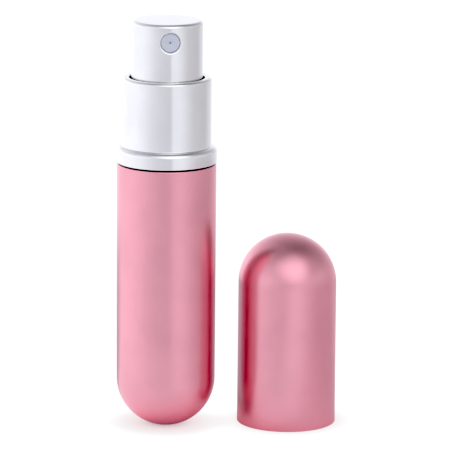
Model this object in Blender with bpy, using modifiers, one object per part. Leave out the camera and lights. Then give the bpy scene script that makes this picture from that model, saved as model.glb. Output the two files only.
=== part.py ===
"""Refillable travel perfume atomiser: a satin aluminium capsule bottle with a screw-on spray pump, and its cap.

The bottle stands on the flat under its round base with its cap beside it, so the two rest on one surface.
Every length in this script is in millimetres. MM turns it into Blender's metres where a mesh is made.
+Z is up, the bottle's axis is Z, the origin is the middle of the flat that it stands on, and the spray leaves along -Y.

A turned piece is an outline of (radius, height) points that runs down the outer side and back up the inner side.
Bottle outlines are measured from the ground, closure outlines from the collar's lower edge, pump outlines from the
vial's mouth, spray head outlines from the actuator's lower edge, and cap outlines from the cap's mouth.
"""

import math

import bmesh
import bpy

MM = 0.001
CLOSE_FIT = 0.05  # radial or axial gap between two pieces that touch or slide on each other

# Driving dimensions
BODY_RADIUS = 8.5  # the shell's outer radius at its mouth
DOME_RADIUS = 8.45  # the shell narrows to this where its round base starts
STANDING_FLAT = 2.0  # radius of the flat under the base
SHELL_WALL = 0.4
SHELL_TOP = 45.8
SEAM_GAP = 0.3  # the dark line between the shell and the collar
COLLAR_RADIUS = 7.65
COLLAR_HEIGHT = 14.65
COLLAR_WALL = 0.3
FLANGE_RADIUS = 8.64  # the wider ring at the collar's foot
FLANGE_ROUND = 0.95  # its shoulder curves up into the collar's wall
FLANGE_HEIGHT = 2.78
COLLAR_HOLE = 6.45
ACTUATOR_RADIUS = 6.12
ACTUATOR_HEIGHT = 12.95
ACTUATOR_WALL = 0.28
NOZZLE_HEIGHT = 9.92  # from the actuator's lower edge to the spray axis
NOZZLE_RADIUS = 1.62
CAP_RADIUS = 8.42
CAP_MOUTH_RADIUS = 8.5
CAP_HEIGHT = 33.0
CAP_WALL = 0.3
CAP_DOME_HEIGHT = 8.4
CAP_PLACE = (21.0, 0.0)  # where the cap stands beside the bottle

# Neck finish: the screw thread that the closure turns on
THREAD_PITCH = 2.117  # twelve threads to the inch
THREAD_TURNS = 1.5
NECK_ROOT = 5.75
NECK_CREST = 6.48
CLOSURE_ROOT = 6.55
CLOSURE_CREST = 5.85

# Levels worked out from the driving dimensions, measured from the ground
DOME_CENTRE = math.sqrt(DOME_RADIUS**2 - STANDING_FLAT**2)
COLLAR_BASE = SHELL_TOP + SEAM_GAP
MOUTH = COLLAR_BASE + 5.6
HEAD_BASE = COLLAR_BASE + COLLAR_HEIGHT - 3.2

# Round pieces are made of this many flats
WIDE_FACETS = 32
NARROW_FACETS = 20
TUBE_FACETS = 16

# Colours are linear RGB
PINK_ALUMINIUM = ("pink_anodised_aluminium", (0.62, 0.22, 0.30), 0.32, 1.0)
SILVER_ALUMINIUM = ("silver_anodised_aluminium", (0.80, 0.80, 0.83), 0.28, 1.0)
CLEAR_GLASS = ("clear_glass", (0.86, 0.92, 0.90), 0.05, 0.0)
WHITE_PLASTIC = ("white_plastic", (0.82, 0.82, 0.84), 0.40, 0.0)
GREY_PLASTIC = ("nozzle_plastic", (0.56, 0.58, 0.66), 0.38, 0.0)
BLACK_PLASTIC = ("black_plastic", (0.02, 0.02, 0.02), 0.45, 0.0)
SOFT_PLASTIC = ("soft_seal_plastic", (0.74, 0.74, 0.72), 0.55, 0.0)
CLEAR_TUBE = ("dip_tube_plastic", (0.78, 0.80, 0.80), 0.25, 0.0)
SPRING_STEEL = ("spring_steel", (0.62, 0.62, 0.62), 0.22, 1.0)


def clear_scene():
    for thing in list(bpy.data.objects):
        bpy.data.objects.remove(thing)


def new_collection(name, hidden=False):
    made = bpy.data.collections.new(name)
    made.hide_render = hidden
    bpy.context.scene.collection.children.link(made)
    return made


def material(name, colour, roughness, metallic):
    """The Principled material of that name, made once."""
    made = bpy.data.materials.get(name)
    if made is None:
        made = bpy.data.materials.new(name)
        made.use_nodes = True
        made.diffuse_color = (*colour, 1.0)
        shader = made.node_tree.nodes["Principled BSDF"]
        shader.inputs["Base Color"].default_value = (*colour, 1.0)
        shader.inputs["Roughness"].default_value = roughness
        shader.inputs["Metallic"].default_value = metallic
    return made


def assembly(name, x=0.0, y=0.0, z=0.0, parent=None):
    """An empty on a joint's axis. The pieces of one moving body hang from it."""
    empty = bpy.data.objects.new(name, None)
    bpy.context.scene.collection.objects.link(empty)
    empty.location = (x * MM, y * MM, z * MM)
    empty.parent = parent
    return empty


def add_piece(name, mesh, finish, parent, z=0.0):
    """Puts a mesh in the object's collection, on its assembly's axis."""
    piece = bpy.data.objects.new(name, mesh)
    bpy.data.collections["perfume_atomiser"].objects.link(piece)
    if finish is not None:
        piece.data.materials.append(material(*finish))
    piece.parent = parent
    piece.location.z = z * MM
    return piece


def add_cutter(name, mesh, parent):
    """A helper that shapes a piece and isn't a piece itself."""
    cutter = bpy.data.objects.new(name, mesh)
    bpy.data.collections["cutters"].objects.link(cutter)
    cutter.parent = parent
    cutter.hide_render = True
    cutter.display_type = "WIRE"
    return cutter


def arc(centre_r, centre_z, radius, start, end, steps, height=None):
    """Points of an arc from start to end degrees. Height gives an ellipse its other half axis."""
    height = radius if height is None else height
    points = []
    for i in range(steps + 1):
        angle = math.radians(start + (end - start) * i / steps)
        points.append((centre_r + radius * math.cos(angle), centre_z + height * math.sin(angle)))
    return points


def outline_mesh(name, outline):
    """The edges of an outline in the XZ plane. It stays open where both its ends lie on the axis."""
    mesh = bpy.data.meshes.new(name)
    points = [(max(r, 0.0) * MM, 0.0, z * MM) for r, z in outline]
    edges = [(i, i + 1) for i in range(len(points) - 1)]
    if outline[0][0] > 0 or outline[-1][0] > 0:
        edges.append((len(points) - 1, 0))
    mesh.from_pydata(points, edges, [])
    return mesh


def spin(thing, facets):
    """Turns an outline about the object's Z axis."""
    screw = thing.modifiers.new("Turn", "SCREW")
    screw.axis = "Z"
    screw.angle = math.tau
    screw.steps = facets
    screw.render_steps = facets
    screw.use_merge_vertices = True
    screw.merge_threshold = 1e-6
    screw.use_smooth_shade = True
    return thing


def turned(name, outline, finish, parent, facets=WIDE_FACETS):
    return spin(add_piece(name, outline_mesh(name, outline), finish, parent), facets)


def turned_cutter(name, outline, parent, facets=WIDE_FACETS):
    return spin(add_cutter(name, outline_mesh(name, outline), parent), facets)


def boolean(piece, tool, operation):
    change = piece.modifiers.new(operation.title(), "BOOLEAN")
    change.operation = operation
    change.solver = "EXACT"
    change.object = tool


def point_along_spray(thing, height):
    """Lays a piece turned about Z along the spray axis, at that height on its assembly."""
    thing.rotation_euler = (math.radians(90), 0.0, 0.0)
    thing.location.z = height * MM


def thread_ridge(name, parent, root, crest, first_level):
    """A helical ridge that rises out of a wall at radius root to radius crest and runs out at both ends."""
    base_half, crest_half, bury = 0.62, 0.24, 0.25
    inward = 1 if crest > root else -1
    steps = round(THREAD_TURNS * WIDE_FACETS)
    run_out = WIDE_FACETS / 8
    shape = bmesh.new()
    rings = []
    for i in range(steps + 1):
        angle = math.tau * i / WIDE_FACETS
        level = first_level + THREAD_PITCH * i / WIDE_FACETS
        share = 0.12 + 0.88 * min(1.0, i / run_out, (steps - i) / run_out)
        tip = root + (crest - root) * share
        foot = root - inward * bury
        section = [
            (foot, level - base_half),
            (tip, level - crest_half),
            (tip, level + crest_half),
            (foot, level + base_half),
        ]
        rings.append(
            [shape.verts.new((r * MM * math.cos(angle), r * MM * math.sin(angle), z * MM)) for r, z in section]
        )
    for near, far in zip(rings, rings[1:]):
        for k in range(4):
            shape.faces.new((near[k], near[(k + 1) % 4], far[(k + 1) % 4], far[k]))
    shape.faces.new(rings[0])
    shape.faces.new(reversed(rings[-1]))
    bmesh.ops.recalc_face_normals(shape, faces=shape.faces)
    mesh = bpy.data.meshes.new(name)
    shape.to_mesh(mesh)
    shape.free()
    return add_cutter(name, mesh, parent)


# --- Bottle: everything that stays still -----------------------------------------------------------


def dome_arc(radius, lowest, steps, upward=False):
    """Arc of the round base, between its widest level and the height called lowest."""
    end = -math.degrees(math.asin((DOME_CENTRE - lowest) / radius))
    points = arc(0, DOME_CENTRE, radius, 0, end, steps)
    return points[::-1] if upward else points


def outer_shell(parent):
    """Deep-drawn aluminium cup with a round base, a small standing flat and a rolled mouth."""
    lip = SHELL_WALL / 2
    outline = [
        *arc(BODY_RADIUS - lip, SHELL_TOP - lip, lip, 90, 0, 2),
        *dome_arc(DOME_RADIUS, 0, 8),
        (0, 0),
        (0, SHELL_WALL),
        *dome_arc(DOME_RADIUS - SHELL_WALL, SHELL_WALL, 6, upward=True),
        *arc(BODY_RADIUS - lip, SHELL_TOP - lip, lip, 180, 135, 1),
    ]
    turned("outer_shell", outline, PINK_ALUMINIUM, parent)


VIAL_RADIUS = 7.75
VIAL_WALL = 1.0
VIAL_DOME_CENTRE = DOME_CENTRE + 1.0
VIAL_SHOULDER = SHELL_TOP - 4.8
SHOULDER_ROUND = 1.85
NECK_BORE = 4.2
NECK_THREAD_LEVEL = COLLAR_BASE + 0.7  # where the neck's ridge starts


def inner_vial(parent):
    """Five-millilitre vial with a round base, a shoulder and a threaded neck."""
    bore = VIAL_RADIUS - VIAL_WALL
    outline = [
        (NECK_ROOT - 0.25, MOUTH),
        (NECK_ROOT, MOUTH - 0.25),
        (NECK_ROOT, VIAL_SHOULDER + SHOULDER_ROUND + 0.15),
        *arc(VIAL_RADIUS - SHOULDER_ROUND, VIAL_SHOULDER, SHOULDER_ROUND, 90, 0, 4),
        *arc(0, VIAL_DOME_CENTRE, VIAL_RADIUS, 0, -90, 7),
        *arc(0, VIAL_DOME_CENTRE, bore, -90, 0, 6),
        *arc(NECK_BORE + 0.4, VIAL_SHOULDER - 0.6, bore - NECK_BORE - 0.4, 0, 90, 3, height=SHOULDER_ROUND),
        (NECK_BORE, VIAL_SHOULDER + SHOULDER_ROUND - 0.4),
        (NECK_BORE, MOUTH - 0.2),
        (NECK_BORE + 0.2, MOUTH),
    ]
    vial = turned("inner_vial", outline, CLEAR_GLASS, parent)
    ridge = thread_ridge("neck_thread", parent, NECK_ROOT, NECK_CREST, NECK_THREAD_LEVEL)
    boolean(vial, ridge, "UNION")


def vial_retaining_ring(parent):
    """Black ring pressed into the shell's mouth. Its skirt centres the vial and its web holds the shoulder down."""
    outer = BODY_RADIUS - SHELL_WALL - CLOSE_FIT
    inner = NECK_ROOT + 0.25
    skirt_inner = VIAL_RADIUS + 0.07
    web = VIAL_SHOULDER + SHOULDER_ROUND + 0.25
    outline = [
        (outer, SHELL_TOP - 0.3),
        (outer, VIAL_SHOULDER + 0.1),
        (skirt_inner, VIAL_SHOULDER + 0.1),
        (skirt_inner, web),
        (inner, web),
        (inner, SHELL_TOP - 0.3),
    ]
    turned("vial_retaining_ring", outline, BLACK_PLASTIC, parent)


def vial_cushion(parent):
    """Dished soft pad between the round base of the shell and the round base of the vial."""
    shell_side = DOME_RADIUS - SHELL_WALL - CLOSE_FIT
    vial_side = VIAL_RADIUS + CLOSE_FIT
    rim = 4.5
    flat = SHELL_WALL + CLOSE_FIT
    top_start = -math.degrees(math.acos(rim / vial_side))
    low_start = -math.degrees(math.acos(rim / shell_side))
    low_end = -math.degrees(math.asin((DOME_CENTRE - flat) / shell_side))
    outline = [
        *arc(0, VIAL_DOME_CENTRE, vial_side, -90, top_start, 4),
        *arc(0, DOME_CENTRE, shell_side, low_start, low_end, 3),
        (0, flat),
    ]
    turned("vial_cushion", outline, SOFT_PLASTIC, parent, NARROW_FACETS)


# --- Closure: turns on the neck thread -------------------------------------------------------------


def collar_shell(parent):
    """Drawn aluminium cover of the closure, with a wider foot and a rim rolled in round the actuator."""
    round_top, fillet = 0.55, 0.2
    lip = COLLAR_HOLE + 0.22
    bore = COLLAR_RADIUS - COLLAR_WALL
    foot_bore = FLANGE_RADIUS - COLLAR_WALL
    shoulder = (FLANGE_RADIUS - FLANGE_ROUND, FLANGE_HEIGHT - FLANGE_ROUND)
    meet = math.acos((COLLAR_RADIUS + fillet - shoulder[0]) / (FLANGE_ROUND + fillet))
    fillet_level = shoulder[1] + (FLANGE_ROUND + fillet) * math.sin(meet)
    turn = math.degrees(meet)
    outline = [
        *arc(COLLAR_RADIUS - round_top, COLLAR_HEIGHT - round_top, round_top, 90, 0, 4),
        *arc(COLLAR_RADIUS + fillet, fillet_level, fillet, 180, 180 + turn, 2),
        *arc(*shoulder, FLANGE_ROUND, turn, 0, 5)[1:],
        (FLANGE_RADIUS, 0.1),
        (FLANGE_RADIUS - 0.1, 0),
        (foot_bore, 0),
        (foot_bore, CLOSURE_FOOT + CLOSE_FIT),
        (bore, CLOSURE_FOOT + CLOSE_FIT),
        *arc(lip, COLLAR_HEIGHT - round_top, bore - lip, 0, 90, 3, height=round_top - COLLAR_WALL),
        (lip, COLLAR_HEIGHT - 0.9),
        (COLLAR_HOLE, COLLAR_HEIGHT - 0.9),
        *arc(COLLAR_HOLE + 0.2, COLLAR_HEIGHT - 0.2, 0.2, 180, 90, 2),
    ]
    turned("collar_shell", outline, SILVER_ALUMINIUM, parent)


CLOSURE_FOOT = 1.65  # how far up the collar's foot the closure fills it
CLOSURE_TOP = 7.7
CLOSURE_CEILING = 6.9
CLOSURE_HOLE = 3.4


def screw_closure(parent):
    """Plastic screw cap inside the collar. Its ceiling presses the pump's flange onto the vial."""
    outer = COLLAR_RADIUS - COLLAR_WALL - CLOSE_FIT
    foot = FLANGE_RADIUS - COLLAR_WALL - CLOSE_FIT
    outline = [
        (outer, CLOSURE_TOP),
        (outer, CLOSURE_FOOT),
        (foot, CLOSURE_FOOT),
        (foot, 0.3),
        (CLOSURE_ROOT, 0.3),
        (CLOSURE_ROOT, CLOSURE_CEILING),
        (CLOSURE_HOLE, CLOSURE_CEILING),
        (CLOSURE_HOLE, CLOSURE_TOP),
    ]
    closure = turned("screw_closure", outline, WHITE_PLASTIC, parent)
    level = NECK_THREAD_LEVEL - COLLAR_BASE + THREAD_PITCH / 2
    ridge = thread_ridge("closure_thread", parent, CLOSURE_ROOT, CLOSURE_CREST, level)
    boolean(closure, ridge, "UNION")


# --- Pump: rises with the closure but doesn't turn -------------------------------------------------

PUMP_FLANGE_RADIUS = 5.6
BARREL_RADIUS = 3.4
CHAMBER_RADIUS = 2.45
CHAMBER_FLOOR = -10.5
GASKET_TOP = 0.5
PUMP_FLANGE_TOP = 1.25
SOCKET_RADIUS = 0.95
SOCKET_TOP = -13.8
BALL_RADIUS = 0.8
BALL_LEVEL = -12.55
STEM_RADIUS = 1.7
STEM_BORE = 0.6
RETAINER_TOP = COLLAR_BASE + CLOSURE_TOP - MOUTH  # level with the closure


def neck_gasket(parent):
    outline = [
        (PUMP_FLANGE_RADIUS, GASKET_TOP),
        (PUMP_FLANGE_RADIUS, CLOSE_FIT),
        (BARREL_RADIUS + CLOSE_FIT, CLOSE_FIT),
        (BARREL_RADIUS + CLOSE_FIT, GASKET_TOP),
    ]
    turned("neck_gasket", outline, SOFT_PLASTIC, parent, NARROW_FACETS)


def pump_housing(parent):
    """Flanged barrel: pump chamber, ball seat below it, and the dip tube's socket at the bottom."""
    tail = 1.9
    outline = [
        (PUMP_FLANGE_RADIUS, PUMP_FLANGE_TOP),
        (PUMP_FLANGE_RADIUS, GASKET_TOP + CLOSE_FIT),
        (BARREL_RADIUS, GASKET_TOP + CLOSE_FIT),
        (BARREL_RADIUS, CHAMBER_FLOOR + 0.6),
        (BARREL_RADIUS - 0.4, CHAMBER_FLOOR - 0.4),
        (tail, CHAMBER_FLOOR - 1.1),
        (tail, CHAMBER_FLOOR - 6.2),
        (tail - 0.3, CHAMBER_FLOOR - 6.5),
        (SOCKET_RADIUS, CHAMBER_FLOOR - 6.5),
        (SOCKET_RADIUS, SOCKET_TOP),
        (0.45, SOCKET_TOP + 0.1),
        (0.45, SOCKET_TOP + 0.5),
        (1.05, SOCKET_TOP + 1.1),
        (1.05, CHAMBER_FLOOR - 0.8),
        (0.65, CHAMBER_FLOOR - 0.6),
        (0.65, CHAMBER_FLOOR),
        (CHAMBER_RADIUS, CHAMBER_FLOOR),
        (CHAMBER_RADIUS, PUMP_FLANGE_TOP),
    ]
    housing = turned("pump_housing", outline, WHITE_PLASTIC, parent, NARROW_FACETS)
    vent = bmesh.new()
    bmesh.ops.create_cone(
        vent, cap_ends=True, segments=8, radius1=0.25 * MM, radius2=0.25 * MM, depth=2 * BARREL_RADIUS * MM
    )
    mesh = bpy.data.meshes.new("vent_drill")
    vent.to_mesh(mesh)
    vent.free()
    drill = add_cutter("vent_drill", mesh, parent)
    drill.rotation_euler = (math.radians(90), 0.0, 0.0)
    drill.location = (0.0, -BARREL_RADIUS * MM, -0.4 * MM)
    boolean(housing, drill, "DIFFERENCE")


def piston_retainer(parent):
    """Turret snapped into the top of the barrel. It guides the stem and stops the piston."""
    head, shank, bore = CLOSURE_HOLE - 0.2, CHAMBER_RADIUS - CLOSE_FIT, STEM_RADIUS + 0.08
    outline = [
        (head, RETAINER_TOP),
        (head, PUMP_FLANGE_TOP + CLOSE_FIT),
        (shank, PUMP_FLANGE_TOP + CLOSE_FIT),
        (shank, 0.3),
        (bore, 0.3),
        (bore, RETAINER_TOP),
    ]
    turned("piston_retainer", outline, WHITE_PLASTIC, parent, NARROW_FACETS)


def dip_tube(parent):
    """Straight tube from the socket to just above the bottom of the vial, cut at a slant at its foot."""
    outer, inner = SOCKET_RADIUS - CLOSE_FIT, 0.55
    top = SOCKET_TOP - 0.15
    foot = VIAL_DOME_CENTRE - (VIAL_RADIUS - VIAL_WALL) + 1.0 - MOUTH
    outline = [(outer, top), (outer, foot), (inner, foot), (inner, top)]
    tube = turned("dip_tube", outline, CLEAR_TUBE, parent, TUBE_FACETS)
    tilt, knife_size = math.radians(30), 6.0
    slant = bmesh.new()
    bmesh.ops.create_cube(slant, size=knife_size * MM)
    mesh = bpy.data.meshes.new("slant_cut")
    slant.to_mesh(mesh)
    slant.free()
    knife = add_cutter("slant_cut", mesh, parent)
    knife.rotation_euler = (0.0, tilt, 0.0)
    reach = knife_size / 2
    knife.location = (-reach * math.sin(tilt) * MM, 0.0, (foot + 0.6 - reach * math.cos(tilt)) * MM)
    boolean(tube, knife, "DIFFERENCE")


def return_spring(parent):
    """Compression spring with one closed turn at each end, from the chamber's floor to the valve pin."""
    wire, coil = 0.2, 1.55
    low = CHAMBER_FLOOR + CLOSE_FIT + wire
    high = PIN_SEAT - CLOSE_FIT - wire
    closed_rise, active_turns, steps = 0.45, 5.5, 10
    active_rise = high - low - 2 * closed_rise
    curve = bpy.data.curves.new("return_spring", "CURVE")
    curve.dimensions = "3D"
    curve.bevel_depth = wire * MM
    curve.bevel_resolution = 2
    curve.use_fill_caps = True
    spline = curve.splines.new("POLY")
    total = round((active_turns + 2) * steps)
    spline.points.add(total)
    for i in range(total + 1):
        turn = i / steps
        rise = closed_rise * min(turn, 1.0)
        rise += active_rise * min(max(turn - 1.0, 0.0), active_turns) / active_turns
        rise += closed_rise * max(turn - 1.0 - active_turns, 0.0)
        angle = math.tau * turn
        x, y = coil * math.cos(angle), coil * math.sin(angle)
        spline.points[i].co = (x * MM, y * MM, (low + rise) * MM, 1.0)
    add_piece("return_spring", curve, SPRING_STEEL, parent)


def inlet_ball(parent):
    """Steel ball that closes the chamber's inlet while the head is pressed."""
    ball = bmesh.new()
    bmesh.ops.create_icosphere(ball, subdivisions=3, radius=BALL_RADIUS * MM)
    mesh = bpy.data.meshes.new("inlet_ball")
    ball.to_mesh(mesh)
    ball.free()
    mesh.shade_smooth()
    add_piece("inlet_ball", mesh, SPRING_STEEL, parent)


# --- Moving parts of the pump ----------------------------------------------------------------------

PISTON_TOP = -0.4
PIN_SEAT = -2.6  # the spring pushes here


def piston(parent):
    """Soft piston with two sealing lips, carried by the stem."""
    lip, waist, bore = CHAMBER_RADIUS - CLOSE_FIT, 2.2, STEM_RADIUS - 0.05
    outline = [
        (lip, PISTON_TOP),
        (lip, PISTON_TOP - 0.3),
        (waist, PISTON_TOP - 0.5),
        (waist, PISTON_TOP - 1.1),
        (lip, PISTON_TOP - 1.3),
        (lip, PISTON_TOP - 1.7),
        (lip - 0.12, PISTON_TOP - 1.7),
        (lip - 0.35, PISTON_TOP - 1.4),
        (bore, PISTON_TOP - 1.4),
        (bore, PISTON_TOP),
    ]
    turned("piston", outline, SOFT_PLASTIC, parent, NARROW_FACETS)


def stem(parent):
    """Hollow stem: its collar drives the piston, and its top plugs into the actuator."""
    top, shank = 9.4, STEM_RADIUS - 0.1
    outline = [
        (STEM_RADIUS - 0.2, top),
        (STEM_RADIUS, top - 0.2),
        (STEM_RADIUS, 0.2),
        (2.15, 0.2),
        (2.15, -0.3),
        (shank, -0.3),
        (shank, -2.0),
        (1.15, -2.0),
        (STEM_BORE, -1.5),
        (STEM_BORE, top),
    ]
    turned("stem", outline, WHITE_PLASTIC, parent, NARROW_FACETS)


def outlet_pin(parent):
    """Valve pin under the stem. The return spring holds its cone against the stem's bore."""
    outline = [
        (0, 1.5),
        (0.42, 1.3),
        (0.42, -1.45),
        (1.0, -2.1),
        (2.0, -2.25),
        (2.0, PIN_SEAT),
        (1.15, PIN_SEAT),
        (1.0, PIN_SEAT - 0.8),
        (0, PIN_SEAT - 0.8),
    ]
    turned("outlet_pin", outline, WHITE_PLASTIC, parent, NARROW_FACETS)


# --- Spray head ------------------------------------------------------------------------------------

POST_RADIUS = 0.8
SEAT_FLOOR = 3.2  # how far from the axis the nozzle's seat starts
NOZZLE_FACE = 5.72


def actuator_core(parent):
    """Plastic button: stem socket, riser, feed channel and the seat with its post for the nozzle."""
    outer = ACTUATOR_RADIUS - ACTUATOR_WALL - 0.07
    top = ACTUATOR_HEIGHT - ACTUATOR_WALL - 0.07
    riser_top = NOZZLE_HEIGHT - 0.5
    stem_top = MOUTH + 9.4 - HEAD_BASE
    outline = [
        (0, top),
        *arc(outer - 0.6, top - 0.6, 0.6, 90, 0, 3),
        (outer, 0.3),
        (outer - 0.7, 0.3),
        (outer - 0.7, 4.6),
        (2.7, 4.6),
        (2.7, 0.3),
        (STEM_RADIUS + CLOSE_FIT, 0.3),
        (STEM_RADIUS + CLOSE_FIT, stem_top + CLOSE_FIT),
        (STEM_BORE, stem_top + CLOSE_FIT),
        (STEM_BORE, riser_top),
        (0, riser_top),
    ]
    core = turned("actuator_core", outline, WHITE_PLASTIC, parent)
    past = ACTUATOR_RADIUS + 1.0
    seat = [
        (0, past),
        (NOZZLE_RADIUS + 0.06, past),
        (NOZZLE_RADIUS + 0.06, SEAT_FLOOR),
        (POST_RADIUS, SEAT_FLOOR),
        (POST_RADIUS, NOZZLE_FACE - 0.6),
        (0, NOZZLE_FACE - 0.6),
    ]
    seat_cutter = turned_cutter("nozzle_seat", seat, parent, NARROW_FACETS)
    point_along_spray(seat_cutter, NOZZLE_HEIGHT)
    boolean(core, seat_cutter, "DIFFERENCE")
    feed_radius = 0.35
    feed = [(0, SEAT_FLOOR + 0.15), (feed_radius, SEAT_FLOOR + 0.15), (feed_radius, 0.1), (0, 0.1)]
    feed_cutter = turned_cutter("feed_channel", feed, parent, 12)
    point_along_spray(feed_cutter, NOZZLE_HEIGHT - POST_RADIUS - feed_radius - 0.1)
    boolean(core, feed_cutter, "DIFFERENCE")


def nozzle_insert(parent):
    """Small cup pressed over the post, with the spray hole in its face."""
    hole, face, back, bore = 0.15, NOZZLE_FACE, SEAT_FLOOR + 0.2, NOZZLE_RADIUS - 0.5
    outline = [
        (hole, face),
        (NOZZLE_RADIUS - 0.12, face),
        (NOZZLE_RADIUS, face - 0.12),
        (NOZZLE_RADIUS, back),
        (bore, back),
        (bore, face - 0.5),
        (hole, face - 0.5),
    ]
    insert = turned("nozzle_insert", outline, GREY_PLASTIC, parent, NARROW_FACETS)
    point_along_spray(insert, NOZZLE_HEIGHT)


def actuator_shell(parent):
    """Aluminium cover of the button, with a round window for the nozzle."""
    edge, bore = 0.9, ACTUATOR_RADIUS - ACTUATOR_WALL
    ceiling = ACTUATOR_HEIGHT - ACTUATOR_WALL
    outline = [
        (0, ACTUATOR_HEIGHT),
        *arc(ACTUATOR_RADIUS - edge, ACTUATOR_HEIGHT - edge, edge, 90, 0, 4),
        (ACTUATOR_RADIUS, 0.1),
        (ACTUATOR_RADIUS - 0.1, 0),
        (bore, 0),
        *arc(ACTUATOR_RADIUS - edge, ACTUATOR_HEIGHT - edge, edge - ACTUATOR_WALL, 0, 90, 3),
        (0, ceiling),
    ]
    shell = turned("actuator_shell", outline, SILVER_ALUMINIUM, parent)
    past = ACTUATOR_RADIUS + 1.0
    inside = ACTUATOR_RADIUS - 1.5
    window = [(0, past), (NOZZLE_RADIUS + 0.12, past), (NOZZLE_RADIUS + 0.12, inside), (0, inside)]
    cutter = turned_cutter("nozzle_window", window, parent, NARROW_FACETS)
    point_along_spray(cutter, NOZZLE_HEIGHT)
    boolean(shell, cutter, "DIFFERENCE")


# --- Cap -------------------------------------------------------------------------------------------


def cap_shell(parent):
    """Deep-drawn aluminium dome that slides over the collar and meets the collar's foot."""
    spring_line = CAP_HEIGHT - CAP_DOME_HEIGHT
    bore = CAP_RADIUS - CAP_WALL
    mouth_bore = CAP_MOUTH_RADIUS - CAP_WALL
    outline = [
        *arc(0, spring_line, CAP_RADIUS, 90, 0, 8, height=CAP_DOME_HEIGHT),
        (CAP_RADIUS + 0.01, 4.0),
        (CAP_MOUTH_RADIUS, 0.15),
        (CAP_MOUTH_RADIUS - 0.1, 0),
        (mouth_bore + 0.05, 0),
        (mouth_bore, 0.15),
        *arc(0, spring_line, bore, 0, 90, 7, height=CAP_DOME_HEIGHT - CAP_WALL),
    ]
    turned("cap_shell", outline, PINK_ALUMINIUM, parent)


def cap_liner(parent):
    """Plastic inner cap that grips the collar, with a snap bead near its mouth."""
    outer = CAP_RADIUS - CAP_WALL - CLOSE_FIT
    inner = COLLAR_RADIUS + 0.08
    bead = COLLAR_RADIUS + 0.03
    top, ceiling, mouth = 24.0, 23.68, 0.6
    outline = [
        (0, top),
        *arc(outer - 1.0, top - 1.0, 1.0, 90, 0, 3),
        (outer, mouth),
        (inner + 0.12, mouth),
        (inner, mouth + 0.3),
        (inner, 1.9),
        (bead, 2.2),
        (inner, 2.5),
        *arc(inner - 0.9, ceiling - 0.9, 0.9, 0, 90, 2),
        (0, ceiling),
    ]
    turned("cap_liner", outline, WHITE_PLASTIC, parent)


def main():
    clear_scene()
    new_collection("perfume_atomiser")
    new_collection("cutters", hidden=True)

    bottle = assembly("bottle")
    outer_shell(bottle)
    inner_vial(bottle)
    vial_retaining_ring(bottle)
    vial_cushion(bottle)

    pump = assembly("pump", z=MOUTH, parent=bottle)
    neck_gasket(pump)
    pump_housing(pump)
    piston_retainer(pump)
    dip_tube(pump)
    return_spring(pump)

    closure = assembly("closure", z=COLLAR_BASE - MOUTH, parent=pump)
    collar_shell(closure)
    screw_closure(closure)

    valve = assembly("inlet_valve", z=BALL_LEVEL, parent=pump)
    inlet_ball(valve)

    plunger = assembly("plunger", parent=pump)
    piston(plunger)
    outlet_pin(plunger)

    head = assembly("spray_head", parent=plunger)
    stem(head)
    button = assembly("button", z=HEAD_BASE - MOUTH, parent=head)
    actuator_core(button)
    nozzle_insert(button)
    actuator_shell(button)

    cap = assembly("cap", x=CAP_PLACE[0], y=CAP_PLACE[1], parent=bottle)
    cap_shell(cap)
    cap_liner(cap)


main()
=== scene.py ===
"""Looks, light and camera for the purse perfume atomiser.

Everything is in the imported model's frame, in metres. Outlines are in millimetres, and MM turns them into
metres.
"""

import math

import bmesh
import bpy
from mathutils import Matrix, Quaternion, Vector


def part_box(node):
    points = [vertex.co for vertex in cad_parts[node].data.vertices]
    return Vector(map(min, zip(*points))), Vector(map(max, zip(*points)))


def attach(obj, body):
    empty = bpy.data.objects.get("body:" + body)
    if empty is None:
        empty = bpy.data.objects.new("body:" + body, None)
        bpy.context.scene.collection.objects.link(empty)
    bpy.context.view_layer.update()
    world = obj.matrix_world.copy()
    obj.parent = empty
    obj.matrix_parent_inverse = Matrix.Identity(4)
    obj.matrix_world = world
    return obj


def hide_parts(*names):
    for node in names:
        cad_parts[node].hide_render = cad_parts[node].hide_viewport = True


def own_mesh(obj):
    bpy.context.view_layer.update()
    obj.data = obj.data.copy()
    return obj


MM = 0.001
GRAIN_DEPTH = 0.00001  # height of the finest surface texture, in metres

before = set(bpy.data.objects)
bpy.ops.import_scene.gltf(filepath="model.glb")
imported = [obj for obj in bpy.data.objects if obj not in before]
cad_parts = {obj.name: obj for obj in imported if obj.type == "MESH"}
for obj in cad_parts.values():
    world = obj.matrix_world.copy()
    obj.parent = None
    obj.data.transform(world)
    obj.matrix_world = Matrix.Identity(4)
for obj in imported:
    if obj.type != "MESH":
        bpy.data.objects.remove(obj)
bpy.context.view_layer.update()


# --- Mesh helpers ----------------------------------------------------------------------------------


def arc(centre_r, centre_z, radius, start, end, steps, height=None):
    """Points of an arc from start to end degrees. Height gives an ellipse its other half axis."""
    height = radius if height is None else height
    points = []
    for i in range(steps + 1):
        angle = math.radians(start + (end - start) * i / steps)
        points.append((centre_r + radius * math.cos(angle), centre_z + height * math.sin(angle)))
    return points


def finish_mesh(shape, name, sharp=50):
    """A new object from a bmesh, shaded smooth apart from edges sharper than that many degrees."""
    bmesh.ops.recalc_face_normals(shape, faces=shape.faces)
    mesh = bpy.data.meshes.new(name)
    shape.to_mesh(mesh)
    shape.free()
    mesh.shade_smooth()
    mesh.set_sharp_from_angle(angle=math.radians(sharp))
    made = bpy.data.objects.new(name, mesh)
    bpy.context.scene.collection.objects.link(made)
    return made


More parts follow.
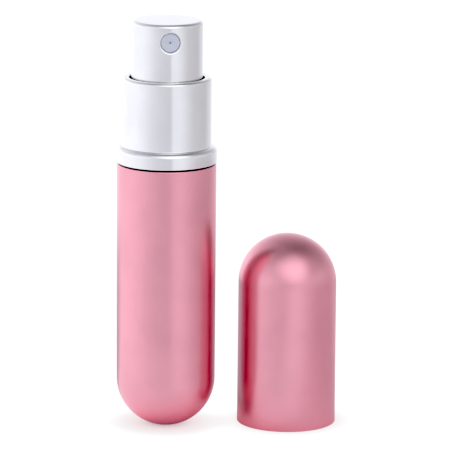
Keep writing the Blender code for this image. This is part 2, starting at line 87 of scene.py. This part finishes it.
def lathe(name, outline, segments=192, base=0.0, centre=(0.0, 0.0), sharp=50, bend=None):
    """Turns a closed outline of (radius, height) in millimetres about a vertical axis.

    Base is the height in metres that the outline is measured from. Centre is the axis, in metres.
    Bend moves each point (x, y, z), in millimetres.
    """
    shape = bmesh.new()
    rings = []
    for r, z in outline:
        count = 1 if r < 1e-6 else segments
        ring = []
        for i in range(count):
            angle = math.tau * i / segments
            point = (r * math.cos(angle), r * math.sin(angle), z)
            if bend is not None:
                point = bend(*point)
            x, y, height = point
            ring.append(shape.verts.new((centre[0] + x * MM, centre[1] + y * MM, base + height * MM)))
        rings.append(ring)
    open_ended = len(rings[0]) == 1 and len(rings[-1]) == 1
    pairs = list(zip(rings, rings[1:]))
    if not open_ended:
        pairs.append((rings[-1], rings[0]))
    for near, far in pairs:
        for i in range(segments):
            j = (i + 1) % segments
            corners = [near[i % len(near)], near[j % len(near)], far[j % len(far)], far[i % len(far)]]
            corners = list(dict.fromkeys(corners))
            if len(corners) > 2:
                shape.faces.new(corners)
    return finish_mesh(shape, name, sharp)


def fine(start, end, step):
    """Evenly spaced values from start to end, about that far apart."""
    count = max(1, round(abs(end - start) / step))
    return [start + (end - start) * i / count for i in range(count + 1)]


# --- Material helpers ------------------------------------------------------------------------------


class Nodes:
    """Short calls that add nodes to a tree and link them."""

    def __init__(self, tree):
        self.tree = tree
        self.tree.nodes.clear()

    def add(self, kind, **settings):
        """A new node with those settings."""
        node = self.tree.nodes.new(kind)
        for key, value in settings.items():
            setattr(node, key, value)
        return node

    def put(self, socket, value):
        """Links an output to the socket, or sets the socket's own value."""
        if isinstance(value, bpy.types.NodeSocket):
            self.tree.links.new(value, socket)
        else:
            socket.default_value = value

    def math(self, operation, *values):
        """One step of arithmetic on numbers or outputs."""
        node = self.add("ShaderNodeMath", operation=operation)
        for socket, value in zip(node.inputs, values):
            self.put(socket, value)
        return node.outputs[0]

    def span(self, value, low, high, to_low=0.0, to_high=1.0, kind="SMOOTHSTEP"):
        """Maps low..high to to_low..to_high, and holds the end values outside."""
        node = self.add("ShaderNodeMapRange", interpolation_type=kind)
        for key, item in zip(
            ("Value", "From Min", "From Max", "To Min", "To Max"), (value, low, high, to_low, to_high)
        ):
            self.put(node.inputs[key], item)
        return node.outputs[0]

    def noise(self, vector, scale, detail=2.0, roughness=0.5):
        """Procedural noise from 0 to 1, with that many cells to the metre."""
        node = self.add("ShaderNodeTexNoise")
        self.put(node.inputs["Vector"], vector)
        node.inputs["Scale"].default_value = scale
        node.inputs["Detail"].default_value = detail
        node.inputs["Roughness"].default_value = roughness
        return node.outputs["Fac"]

    def mix(self, factor, first, second):
        """Blends from the first colour to the second."""
        node = self.add("ShaderNodeMix", data_type="RGBA")
        self.put(node.inputs["Factor"], factor)
        self.put(node.inputs["A"], first)
        self.put(node.inputs["B"], second)
        return node.outputs["Result"]

    def bump(self, height, strength, distance=GRAIN_DEPTH):
        """A normal for the shader from a height map."""
        node = self.add("ShaderNodeBump")
        node.inputs["Strength"].default_value = strength
        node.inputs["Distance"].default_value = distance
        self.put(node.inputs["Height"], height)
        return node.outputs["Normal"]


def new_material(name):
    """A material with its shader linked: the material, its nodes, the shader and the piece's coordinates."""
    made = bpy.data.materials.new(name)
    made.use_nodes = True
    nodes = Nodes(made.node_tree)
    shader = nodes.add("ShaderNodeBsdfPrincipled")
    output = nodes.add("ShaderNodeOutputMaterial")
    nodes.put(output.inputs["Surface"], shader.outputs["BSDF"])
    place = nodes.add("ShaderNodeTexCoord").outputs["Object"]
    return made, nodes, shader, place


def colour(red, green, blue):
    """An opaque linear colour."""
    return (red, green, blue, 1.0)


def scaled(tone, factor):
    """The same colour lighter or darker."""
    return colour(*[min(1.0, channel * factor) for channel in tone[:3]])


def satin_metal(name, tone, roughness, grain):
    """Bead-blasted and anodised aluminium: fine grain, with slightly cloudy dye and gloss."""
    made, nodes, shader, place = new_material(name)
    clouds = nodes.noise(place, 160.0, 3.0)
    speckle = nodes.noise(place, 9000.0, 1.0)
    dark = scaled(tone, 0.97)
    dye = nodes.mix(nodes.span(clouds, 0.3, 0.7), dark, scaled(tone, 1.03))
    nodes.put(shader.inputs["Base Color"], nodes.mix(nodes.span(speckle, 0.2, 0.8, 0.0, 0.3), dye, dark))
    shader.inputs["Metallic"].default_value = 1.0
    gloss = nodes.span(clouds, 0.3, 0.7, roughness * 0.94, roughness * 1.06)
    nodes.put(shader.inputs["Roughness"], gloss)
    fine_grain = nodes.noise(place, 14000.0, 2.0, 0.6)
    nodes.put(shader.inputs["Normal"], nodes.bump(fine_grain, grain))
    return made


def moulded_plastic(name, tone, roughness, clear=0.0, soft=0.0):
    """Injection-moulded plastic: faint mould texture and flow variation.

    Clear is how much light goes straight through, and soft how much scatters under the surface.
    """
    made, nodes, shader, place = new_material(name)
    flow = nodes.noise(place, 220.0, 2.0)
    dye = nodes.mix(nodes.span(flow, 0.3, 0.7), tone, scaled(tone, 1.04))
    nodes.put(shader.inputs["Base Color"], dye)
    nodes.put(shader.inputs["Roughness"], nodes.span(flow, 0.3, 0.7, roughness * 0.9, roughness * 1.1))
    shader.inputs["Transmission Weight"].default_value = clear
    shader.inputs["Subsurface Weight"].default_value = soft
    shader.inputs["Subsurface Scale"].default_value = 0.0006
    shader.inputs["IOR"].default_value = 1.5
    texture = nodes.noise(place, 5000.0, 2.0)
    nodes.put(shader.inputs["Normal"], nodes.bump(texture, 0.12))
    return made


def drawn_steel(name):
    """Bright drawn wire with faint scratches."""
    made, nodes, shader, place = new_material(name)
    marks = nodes.noise(place, 2500.0, 4.0, 0.7)
    worn = nodes.mix(marks, colour(0.5, 0.5, 0.5), colour(0.68, 0.68, 0.69))
    nodes.put(shader.inputs["Base Color"], worn)
    shader.inputs["Metallic"].default_value = 1.0
    nodes.put(shader.inputs["Roughness"], nodes.span(marks, 0.3, 0.7, 0.18, 0.3))
    nodes.put(shader.inputs["Normal"], nodes.bump(marks, 0.1))
    return made


def clear_glass(name):
    """Moulded glass with a trace of green and slightly wavy walls."""
    made, nodes, shader, place = new_material(name)
    waves = nodes.noise(place, 300.0, 1.0)
    green = nodes.mix(waves, colour(0.93, 0.98, 0.96), colour(0.97, 1.0, 0.99))
    nodes.put(shader.inputs["Base Color"], green)
    nodes.put(shader.inputs["Roughness"], nodes.span(waves, 0.2, 0.8, 0.01, 0.04))
    shader.inputs["Transmission Weight"].default_value = 1.0
    shader.inputs["IOR"].default_value = 1.5
    nodes.put(shader.inputs["Normal"], nodes.bump(waves, 0.15, 0.0001))
    return made


PINK = satin_metal("satin_pink", colour(0.825, 0.403, 0.456), 0.30, 0.10)
SILVER = satin_metal("satin_silver", colour(0.81, 0.81, 0.805), 0.14, 0.05)
NOZZLE_GREY = moulded_plastic("nozzle_grey", colour(0.56, 0.58, 0.64), 0.38, soft=0.1)
WHITE = moulded_plastic("white_polypropylene", colour(0.80, 0.80, 0.81), 0.40, soft=0.1)
BLACK = moulded_plastic("black_polypropylene", colour(0.012, 0.012, 0.013), 0.42)
SEAL = moulded_plastic("seal_polyethylene", colour(0.66, 0.66, 0.64), 0.55, soft=0.2)
TUBE = moulded_plastic("clear_tubing", colour(0.92, 0.94, 0.94), 0.15, clear=0.85)
STEEL = drawn_steel("drawn_steel")
GLASS = clear_glass("vial_glass")


# --- Visible pieces --------------------------------------------------------------------------------


def millimetres(node):
    """A CAD node's radius, lowest and highest level, in millimetres."""
    low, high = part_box(node)
    return (high.x - low.x) / 2 / MM, low.z / MM, high.z / MM


def dress(piece, body, slot, finish, *nodes):
    """Gives a piece its body and material, and hides the CAD nodes it stands for. The slot is not used."""
    piece.data.materials.append(finish)
    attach(piece, body)
    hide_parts(*nodes)
    return piece


DOME_RADIUS = 8.45  # the shell narrows to this where its round base starts
FLAT_RADIUS = 2.0
WALL = 0.4


def outer_shell():
    """Pink tube with a hemispherical base, a small soft-edged flat and a rolled mouth."""
    radius, _, top = millimetres("outer_shell")
    centre = math.sqrt(DOME_RADIUS**2 - FLAT_RADIUS**2)
    lip = WALL / 2
    flat_angle = -math.degrees(math.asin(centre / DOME_RADIUS))
    inner_flat_angle = -76
    mouth, waist = (radius, top - lip), (DOME_RADIUS, centre)
    taper = [tuple(a + (b - a) * share for a, b in zip(mouth, waist)) for share in (0.25, 0.5, 0.75)]
    outline = [
        *arc(radius - lip, top - lip, lip, 180, 0, 12),
        *taper,
        *arc(0, centre, DOME_RADIUS, 0, flat_angle + 2, 56),
        *[(FLAT_RADIUS - inset, rise) for inset, rise in ((0.08, 0.012), (0.35, 0.0))],
        (0, 0),
        (0, WALL),
        *arc(0, centre, DOME_RADIUS - WALL, inner_flat_angle, 0, 24),
    ]
    return dress(lathe("shell", outline), "bottle", "pink_aluminium", PINK, "outer_shell")


COLLAR_HOLE = 6.45  # the rim closes in to this round the button
COLLAR_RADIUS = 7.65  # above the wider foot
SHOULDER_HEIGHT = 2.78
SHOULDER_ROUND = 0.95


def collar():
    """Silver collar: wider foot with a rounded shoulder, straight wall and rim rolled in round the button."""
    radius, base, top = millimetres("collar_shell")
    height = top - base
    wall, crown, fillet, roll = 0.3, 0.55, 0.2, 0.2
    foot_round = 0.08
    rim_thickness, rim_depth = 0.25, 0.9  # of the rim's turned-down edge
    bore = COLLAR_RADIUS - wall
    shoulder_r, shoulder_z = radius - SHOULDER_ROUND, SHOULDER_HEIGHT - SHOULDER_ROUND
    meet = math.acos((COLLAR_RADIUS + fillet - shoulder_r) / (SHOULDER_ROUND + fillet))
    fillet_z = shoulder_z + (SHOULDER_ROUND + fillet) * math.sin(meet)
    turn = math.degrees(meet)
    outline = [
        *arc(COLLAR_HOLE + roll, height - roll, roll, 180, 90, 8),
        *arc(COLLAR_RADIUS - crown, height - crown, crown, 90, 0, 16),
        *arc(COLLAR_RADIUS + fillet, fillet_z, fillet, 180, 180 + turn, 8),
        *arc(shoulder_r, shoulder_z, SHOULDER_ROUND, turn, 0, 20)[1:],
        *arc(radius - foot_round, foot_round, foot_round, 0, -90, 5),
        (radius - wall, 0),
        (radius - wall, shoulder_z),
        (bore, shoulder_z),
        *arc(COLLAR_RADIUS - crown, height - crown, crown - wall, 0, 90, 6),
        (COLLAR_HOLE + rim_thickness, height - wall),
        (COLLAR_HOLE + rim_thickness, height - rim_depth),
        (COLLAR_HOLE, height - rim_depth),
    ]
    made = lathe("collar", outline, base=base * MM)
    return dress(made, "closure", "silver_aluminium", SILVER, "collar_shell")


NOZZLE_LEVEL = 9.92  # above the button's lower edge
WINDOW_RADIUS = 1.69
LIP_RADIUS = 2.05  # where the wall starts to roll in towards the window
LIP_DEPTH = 0.22


def button():
    """Silver button cover. Round the nozzle its wall rolls inwards to a round window."""
    radius, base, top = millimetres("actuator_shell")
    height = top - base
    wall, crown, foot_round = 0.28, 0.65, 0.1
    plain = 4.0  # the wall below this level has no rings of its own
    reach, step = LIP_RADIUS + 0.1, 0.06  # of the fine rings above and below the nozzle
    band_low, band_high = NOZZLE_LEVEL - reach, NOZZLE_LEVEL + reach

    def dimple(x, y, z):
        """Rolls the front wall inwards, from the lip's radius to the window's."""
        if y > -radius / 2:
            return x, y, z
        out = math.hypot(x, y)
        far = math.hypot(radius * math.asin(x / out), z - NOZZLE_LEVEL)
        share = (LIP_RADIUS - far) / (LIP_RADIUS - WINDOW_RADIUS)
        if share <= 0:
            return x, y, z
        inward = LIP_DEPTH * (1 - math.sqrt(max(0.0, 1 - min(1.0, share) ** 2)))
        shrink = 1 - inward / out
        return x * shrink, y * shrink, z

    outline = [
        (0, height),
        (radius * 0.6, height),
        *arc(radius - crown, height - crown, crown, 90, 0, 12),
        *[(radius, z) for z in fine(band_high, band_low, step)],
        (radius, plain),
        *arc(radius - foot_round, foot_round, foot_round, 0, -90, 4),
        (radius - wall, 0),
        (radius - wall, plain),
        *[(radius - wall, z) for z in fine(band_low, band_high, step)],
        *arc(radius - crown, height - crown, crown - wall, 0, 90, 12),
        (0, height - wall),
    ]
    made = lathe("button", outline, segments=512, base=base * MM, bend=dimple)
    punch_length = 3
    punch_outline = [
        (0, punch_length),
        (WINDOW_RADIUS, punch_length),
        (WINDOW_RADIUS, -punch_length),
        (0, -punch_length),
    ]
    punch = lathe("window_punch", punch_outline, segments=96)
    punch.rotation_euler = (math.radians(90), 0, 0)
    punch.location = (0, -radius * MM, (base + NOZZLE_LEVEL) * MM)
    cut = made.modifiers.new("Window", "BOOLEAN")
    cut.operation = "DIFFERENCE"
    cut.solver = "EXACT"
    cut.object = punch
    bpy.context.view_layer.update()
    cut_mesh = bpy.data.meshes.new_from_object(made.evaluated_get(bpy.context.evaluated_depsgraph_get()))
    made.modifiers.remove(cut)
    made.data = cut_mesh
    cut_mesh.shade_smooth()
    cut_mesh.set_sharp_from_angle(angle=math.radians(40))
    bpy.data.objects.remove(punch)
    return dress(made, "spray_head", "silver_aluminium", SILVER, "actuator_shell")


def nozzle():
    """Light grey insert: a flat face with a soft edge and a fine conical spray hole."""
    low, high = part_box("nozzle_insert")
    radius = (high.x - low.x) / 2 / MM
    depth = (high.y - low.y) / MM
    edge, throat, flare, cone = 0.12, 0.14, 0.28, 0.12
    wall, plate = 0.5, 0.5
    outline = [
        (throat, -plate),
        (throat, -cone),
        (flare, 0.0),
        *arc(radius - edge, -edge, edge, 90, 0, 8),
        (radius, -depth),
        (radius - wall, -depth),
        (radius - wall, -plate),
    ]
    made = lathe("nozzle", outline, segments=96)
    made.rotation_euler = (math.radians(90), 0, 0)
    made.location = (0, low.y, (low.z + high.z) / 2)
    return dress(made, "spray_head", "nozzle_plastic", NOZZLE_GREY, "nozzle_insert")


def cap():
    """Pink cap with a hemispherical end and a thin turned mouth."""
    low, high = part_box("cap_shell")
    mouth = (high.x - low.x) / 2 / MM
    height = (high.z - low.z) / MM
    radius, dome, wall = 8.42, 8.4, 0.3
    outer_round, inner_round = 0.12, 0.1
    line = height - dome  # where the round end starts
    widening = [(radius + 0.02, line * 0.6), (mouth - 0.03, 3.0)]  # towards the mouth
    outline = [
        *arc(0, line, radius, 90, 0, 56, height=dome),
        *widening,
        *arc(mouth - outer_round, outer_round, outer_round, 0, -90, 5),
        *arc(mouth - wall + inner_round, inner_round, inner_round, -90, -180, 4),
        *arc(0, line, radius - wall, 0, 90, 24, height=dome - wall),
    ]
    centre = ((low.x + high.x) / 2, (low.y + high.y) / 2)
    made = lathe("cap", outline, centre=centre, base=low.z)
    return dress(made, "cap", "pink_aluminium", PINK, "cap_shell")


WIRE = 0.2  # radius of the spring's wire
ACTIVE_TURNS = 5.5
CLOSED_RISE = 0.45  # over the one closed turn at each end


def spring():
    """Coil spring with a closed turn at each end."""
    low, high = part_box("return_spring")
    steps, around = 32, 12  # points along a turn, and round the wire
    coil = (high.x - low.x) / 2 / MM - WIRE
    foot, head = low.z / MM + WIRE, high.z / MM - WIRE
    total = round((ACTIVE_TURNS + 2) * steps)
    path = []
    for i in range(total + 1):
        turn = i / steps
        rise = CLOSED_RISE * (min(turn, 1.0) + max(turn - 1.0 - ACTIVE_TURNS, 0.0))
        rise += (head - foot - 2 * CLOSED_RISE) * min(max(turn - 1.0, 0.0), ACTIVE_TURNS) / ACTIVE_TURNS
        angle = math.tau * turn
        path.append(Vector((coil * math.cos(angle), coil * math.sin(angle), foot + rise)))
    shape = bmesh.new()
    rings = []
    for i, point in enumerate(path):
        along = (path[min(i + 1, total)] - path[max(i - 1, 0)]).normalized()
        out = Vector((point.x, point.y, 0.0)).normalized()
        across = along.cross(out).normalized()
        around_wire = [math.tau * k / around for k in range(around)]
        ring = [point + WIRE * (math.cos(angle) * out + math.sin(angle) * across) for angle in around_wire]
        rings.append([shape.verts.new(corner * MM) for corner in ring])
    for first, second in zip(rings, rings[1:]):
        for k in range(around):
            shape.faces.new((first[k], first[k - 1], second[k - 1], second[k]))
    shape.faces.new(rings[0])
    shape.faces.new(rings[-1][::-1])
    made = dress(finish_mesh(shape, "spring"), "pump", "steel", STEEL, "return_spring")
    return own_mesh(made)


outer_shell()
collar()
button()
nozzle()
cap()
spring()

# The CAD nodes that keep their mesh, each with its material
KEPT = {
    "inner_vial": GLASS,
    "vial_retaining_ring": BLACK,
    "vial_cushion": SEAL,
    "neck_gasket": SEAL,
    "pump_housing": WHITE,
    "piston_retainer": WHITE,
    "dip_tube": TUBE,
    "inlet_ball": STEEL,
    "piston": SEAL,
    "outlet_pin": WHITE,
    "stem": WHITE,
    "actuator_core": WHITE,
    "screw_closure": WHITE,
    "cap_liner": WHITE,
}
for node_name, finish in KEPT.items():
    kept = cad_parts[node_name]
    kept.data.materials.clear()
    kept.data.materials.append(finish)


# --- Studio ----------------------------------------------------------------------------------------


def towards(azimuth, elevation):
    """Unit vector, from angles in degrees. Azimuth 0 is -Y, the side that the spray leaves, and 90 is +X."""
    turn, tilt = math.radians(azimuth), math.radians(elevation)
    return Vector((math.sin(turn) * math.cos(tilt), -math.cos(turn) * math.cos(tilt), math.sin(tilt)))


def window_of(nodes, value, centre, half, soft):
    """1 within half of centre, falling to 0 over soft, all in degrees."""
    turn = nodes.math("WRAP", nodes.math("SUBTRACT", value, math.radians(centre)), math.pi, -math.pi)
    away = nodes.math("ABSOLUTE", turn)
    return nodes.span(away, math.radians(half), math.radians(half + soft), 1.0, 0.0)


def ramp(nodes, value, stops, unit=math.radians(1)):
    """Level by position, straight between stops of (position, level). Levels go up to 2."""
    low, high = stops[0][0], stops[-1][0]
    node = nodes.add("ShaderNodeValToRGB")
    elements = node.color_ramp.elements
    while len(elements) > 1:
        elements.remove(elements[-1])
    for k, (at, level) in enumerate(stops):
        stop = elements[0] if k == 0 else elements.new((at - low) / (high - low))
        stop.position = (at - low) / (high - low)
        stop.color = (level / 2, level / 2, level / 2, 1.0)
    along = nodes.span(value, low * unit, high * unit, kind="LINEAR")
    nodes.put(node.inputs["Fac"], along)
    return nodes.math("MULTIPLY", node.outputs["Color"], 2.0)


def heading(nodes, direction):
    """Azimuth of a direction in radians, and its separate axes."""
    axes = nodes.add("ShaderNodeSeparateXYZ")
    nodes.put(axes.inputs[0], direction)
    forward = nodes.math("MULTIPLY", axes.outputs["Y"], -1.0)
    return nodes.math("ARCTAN2", axes.outputs["X"], forward), axes


def rgb(nodes, red, green, blue):
    """One colour from three levels."""
    tone = nodes.add("ShaderNodeCombineColor")
    for channel, level in zip(("Red", "Green", "Blue"), (red, green, blue)):
        nodes.put(tone.inputs[channel], level)
    return tone.outputs["Color"]


def product(nodes, first, second):
    """Multiplies two colours."""
    made = nodes.add("ShaderNodeMix", data_type="RGBA", blend_type="MULTIPLY")
    made.inputs["Factor"].default_value = 1.0
    nodes.put(made.inputs["A"], first)
    nodes.put(made.inputs["B"], second)
    return made.outputs["Result"]


# Brightness by azimuth in degrees: the lit table as the tall sides reflect it, and close to the base
TABLE = [
    (-180, 1.25), (-128, 1.20), (-92, 1.18), (-68, 1.07), (-44, 0.91), (-24, 0.825), (-1, 0.775),
    (4.5, 0.765), (10.5, 1.00), (28, 1.01), (42, 0.92), (54, 0.83), (66, 0.75), (94, 0.70), (110, 0.69),
    (122, 0.80), (142, 0.92), (155, 1.00), (180, 1.25),
]
BASE = [(-180, 1.15), (-90, 1.12), (-45, 1.0), (0, 0.92), (45, 0.93), (90, 0.78), (135, 0.75), (180, 1.15)]
# The room above the table by azimuth, and how much of it is left by elevation
ROOM = [
    (-180, 1.10), (-145, 1.35), (-100, 1.30), (-65, 1.12), (-38, 0.85), (-10, 0.66), (40, 0.78), (60, 0.78),
    (135, 0.75), (160, 1.05), (180, 1.10),
]
ABOVE = [
    (-10, 0.0), (-6, 0.0), (4, 1.0), (13, 1.0), (21, 0.80), (35, 0.68), (50, 0.52), (67, 0.36), (90, 0.34),
]
BELOW = [(-10, 1.0), (-6, 1.0), (4, 0.0), (10, 0.0)]  # the table's share by elevation
# For red, green and blue: the level, what it loses on the warm side, and what more close to the shells
TINT = ((0.99, 0.0, 0.02), (0.995, 0.02, 0.09), (1.075, 0.035, 0.07))
# The table's painted light and shade by how open a point of it is: red, the other colours, and the painted
# shade right under a piece
OPEN_RED = [(0, 0.15), (0.3, 0.80), (0.6, 1.0), (1, 1.0)]
OPEN_REST = [(0, 0.03), (0.3, 0.36), (0.6, 0.80), (0.9, 1.0), (1, 1.0)]
OPEN_CLOSE = [(0, 0.50), (0.2, 0.86), (0.6, 0.93), (0.95, 1.06), (1, 1.06)]
WHITE_LIGHT = colour(1, 1, 1)
PINK_SHADE = colour(1.0, 0.82, 0.85)


def tint(nodes, level, azimuth, near=0.0):
    """Cool light all round, a little warmer from the right, and more so close to the pink shells, as a
    painted pink bounce on the table.
    """
    warm = window_of(nodes, azimuth, 95, 30, 35)
    shares = []
    for cool, less, bounce in TINT:
        drop = nodes.math("ADD", less, nodes.math("MULTIPLY", near, bounce))
        shares.append(nodes.math("SUBTRACT", cool, nodes.math("MULTIPLY", warm, drop)))
    return rgb(nodes, *[nodes.math("MULTIPLY", level, share) for share in shares])


def floor():
    """Plain white table with a painted soft shade where something stands on it, and open to a view from
    below.
    """
    gap = 0.00003  # keeps the table clear of the flat bottoms that stand on it
    bpy.ops.mesh.primitive_circle_add(vertices=64, radius=4.0, fill_type="NGON", location=(0, 0, -gap))
    made = bpy.context.object
    made.name = "floor"
    paint = bpy.data.materials.new("floor_white")
    paint.use_nodes = True
    nodes = Nodes(paint.node_tree)
    place = nodes.add("ShaderNodeTexCoord").outputs["Object"]
    azimuth, _ = heading(nodes, place)
    away = nodes.add("ShaderNodeVectorMath", operation="LENGTH")
    nodes.put(away.inputs[0], place)
    distance = away.outputs["Value"]  # from the bottle's axis, in metres

    # What the pieces reflect: painted light by azimuth, with painted shade and a painted pink bounce close
    # under the pieces
    far = nodes.span(distance, 0.02, 0.07)
    table = nodes.math("MULTIPLY", ramp(nodes, azimuth, TABLE), far)
    base = nodes.math("MULTIPLY", ramp(nodes, azimuth, BASE), nodes.math("SUBTRACT", 1.0, far))
    behind = window_of(nodes, azimuth, 180, 32, 18)
    shaded = nodes.math("MULTIPLY", behind, nodes.span(distance, 0.11, 0.18, 0.5, 0.0))
    level = nodes.math("MULTIPLY", nodes.math("ADD", table, base), nodes.math("SUBTRACT", 1.0, shaded))
    lit = tint(nodes, level, azimuth, nodes.span(distance, 0.18, 0.25, 1.0, 0.0))

    def openness(reach):
        """How much of the space within reach, in metres, is free above a point."""
        node = nodes.add("ShaderNodeAmbientOcclusion", samples=8)
        node.inputs["Distance"].default_value = reach
        return node.outputs["AO"]

    wide, close = openness(0.03), openness(0.006)
    red = ramp(nodes, wide, OPEN_RED, 1)
    rest = ramp(nodes, wide, OPEN_REST, 1)
    blue = nodes.math("ADD", nodes.math("MULTIPLY", rest, 0.93), 0.07)
    glow = product(nodes, lit, rgb(nodes, red, rest, blue))

    # What a view shows: white, with a painted soft pink shade at the foot of each piece
    shade = ramp(nodes, close, OPEN_CLOSE, 1)
    painted_pink_shade = nodes.mix(nodes.span(close, 0.0, 0.9), PINK_SHADE, WHITE_LIGHT)
    seen = product(nodes, painted_pink_shade, shade)
    path = nodes.add("ShaderNodeLightPath")
    light = nodes.add("ShaderNodeEmission")
    nodes.put(light.inputs["Color"], nodes.mix(path.outputs["Is Camera Ray"], glow, seen))
    sides = nodes.add("ShaderNodeMixShader")
    nodes.put(sides.inputs["Fac"], nodes.add("ShaderNodeNewGeometry").outputs["Backfacing"])
    nodes.put(sides.inputs[1], light.outputs["Emission"])
    nodes.put(sides.inputs[2], nodes.add("ShaderNodeBsdfTransparent").outputs["BSDF"])
    out = nodes.add("ShaderNodeOutputMaterial")
    nodes.put(out.inputs["Surface"], sides.outputs["Shader"])
    made.data.materials.append(paint)


def studio():
    """White room, brighter on the left and darker overhead, with soft lights and a white backdrop."""
    world = bpy.data.worlds.new("studio")
    bpy.context.scene.world = world
    world.use_nodes = True
    world.cycles.sampling_method = "NONE"
    nodes = Nodes(world.node_tree)
    direction = nodes.add("ShaderNodeTexCoord").outputs["Generated"]
    azimuth, axes = heading(nodes, direction)
    elevation = nodes.math("ARCSINE", axes.outputs["Z"])

    def softbox(centre, half, soft, level):
        """A soft-edged panel: centre, half and soft are (azimuth, elevation)."""
        wide = window_of(nodes, azimuth, centre[0], half[0], soft[0])
        tall = window_of(nodes, elevation, centre[1], half[1], soft[1])
        return nodes.math("MULTIPLY", nodes.math("MULTIPLY", wide, tall), level)

    def round_light(centre, half, soft, level):
        """A soft-edged round light: centre is (azimuth, elevation), half and soft angles from it."""
        near = nodes.add("ShaderNodeVectorMath", operation="DOT_PRODUCT")
        nodes.put(near.inputs[0], direction)
        near.inputs[1].default_value = towards(*centre)
        off = nodes.math("ARCCOSINE", nodes.math("MINIMUM", near.outputs["Value"], 1.0))
        glow = nodes.span(off, math.radians(half), math.radians(half + soft), 1.0, 0.0)
        return nodes.math("MULTIPLY", glow, level)

    table = nodes.math("MULTIPLY", ramp(nodes, azimuth, TABLE), ramp(nodes, elevation, BELOW))
    room = nodes.math("MULTIPLY", ramp(nodes, azimuth, ROOM), ramp(nodes, elevation, ABOVE))
    level = nodes.math("ADD", table, room)
    panels = [
        round_light((12, 45), 12, 36, 0.84),
        round_light((-60, 40), 8, 30, 0.15),
        softbox((-12, 3), (10, 0), (6, 5), -0.12),
        softbox((20, 30), (60, 22), (25, 12), 0.12),
    ]
    for panel in panels:
        level = nodes.math("ADD", level, panel)
    seen = nodes.add("ShaderNodeLightPath").outputs["Is Camera Ray"]
    back = nodes.add("ShaderNodeBackground")
    nodes.put(back.inputs["Color"], nodes.mix(seen, tint(nodes, level, azimuth), WHITE_LIGHT))
    out = nodes.add("ShaderNodeOutputWorld")
    nodes.put(out.inputs["Surface"], back.outputs["Background"])


def camera():
    """Long lens a little above the table, turned so that the spray hole faces slightly to the right."""
    back = towards(-6.2, 12.3)
    distance = 0.70
    roll = 0.008  # radians
    field = 0.07726  # width of the view at the object
    sensor = 36.0  # millimetres
    target = Vector((0.01011, 0.0, 0.03472))
    data = bpy.data.cameras.new("camera")
    data.sensor_width = sensor
    data.lens = sensor * distance / field
    data.clip_start = 0.01
    made = bpy.data.objects.new("camera", data)
    bpy.context.scene.collection.objects.link(made)
    made.location = target + back * distance
    made.rotation_mode = "QUATERNION"
    made.rotation_quaternion = (-back).to_track_quat("-Z", "Y") @ Quaternion((0.0, 0.0, 1.0), roll)
    bpy.context.scene.camera = made


floor()
studio()
camera()
view = bpy.context.scene.view_settings
view.view_transform = "Standard"
view.use_curve_mapping = True
view.curve_mapping.black_level = (0.055, 0.055, 0.055)
view.curve_mapping.update()
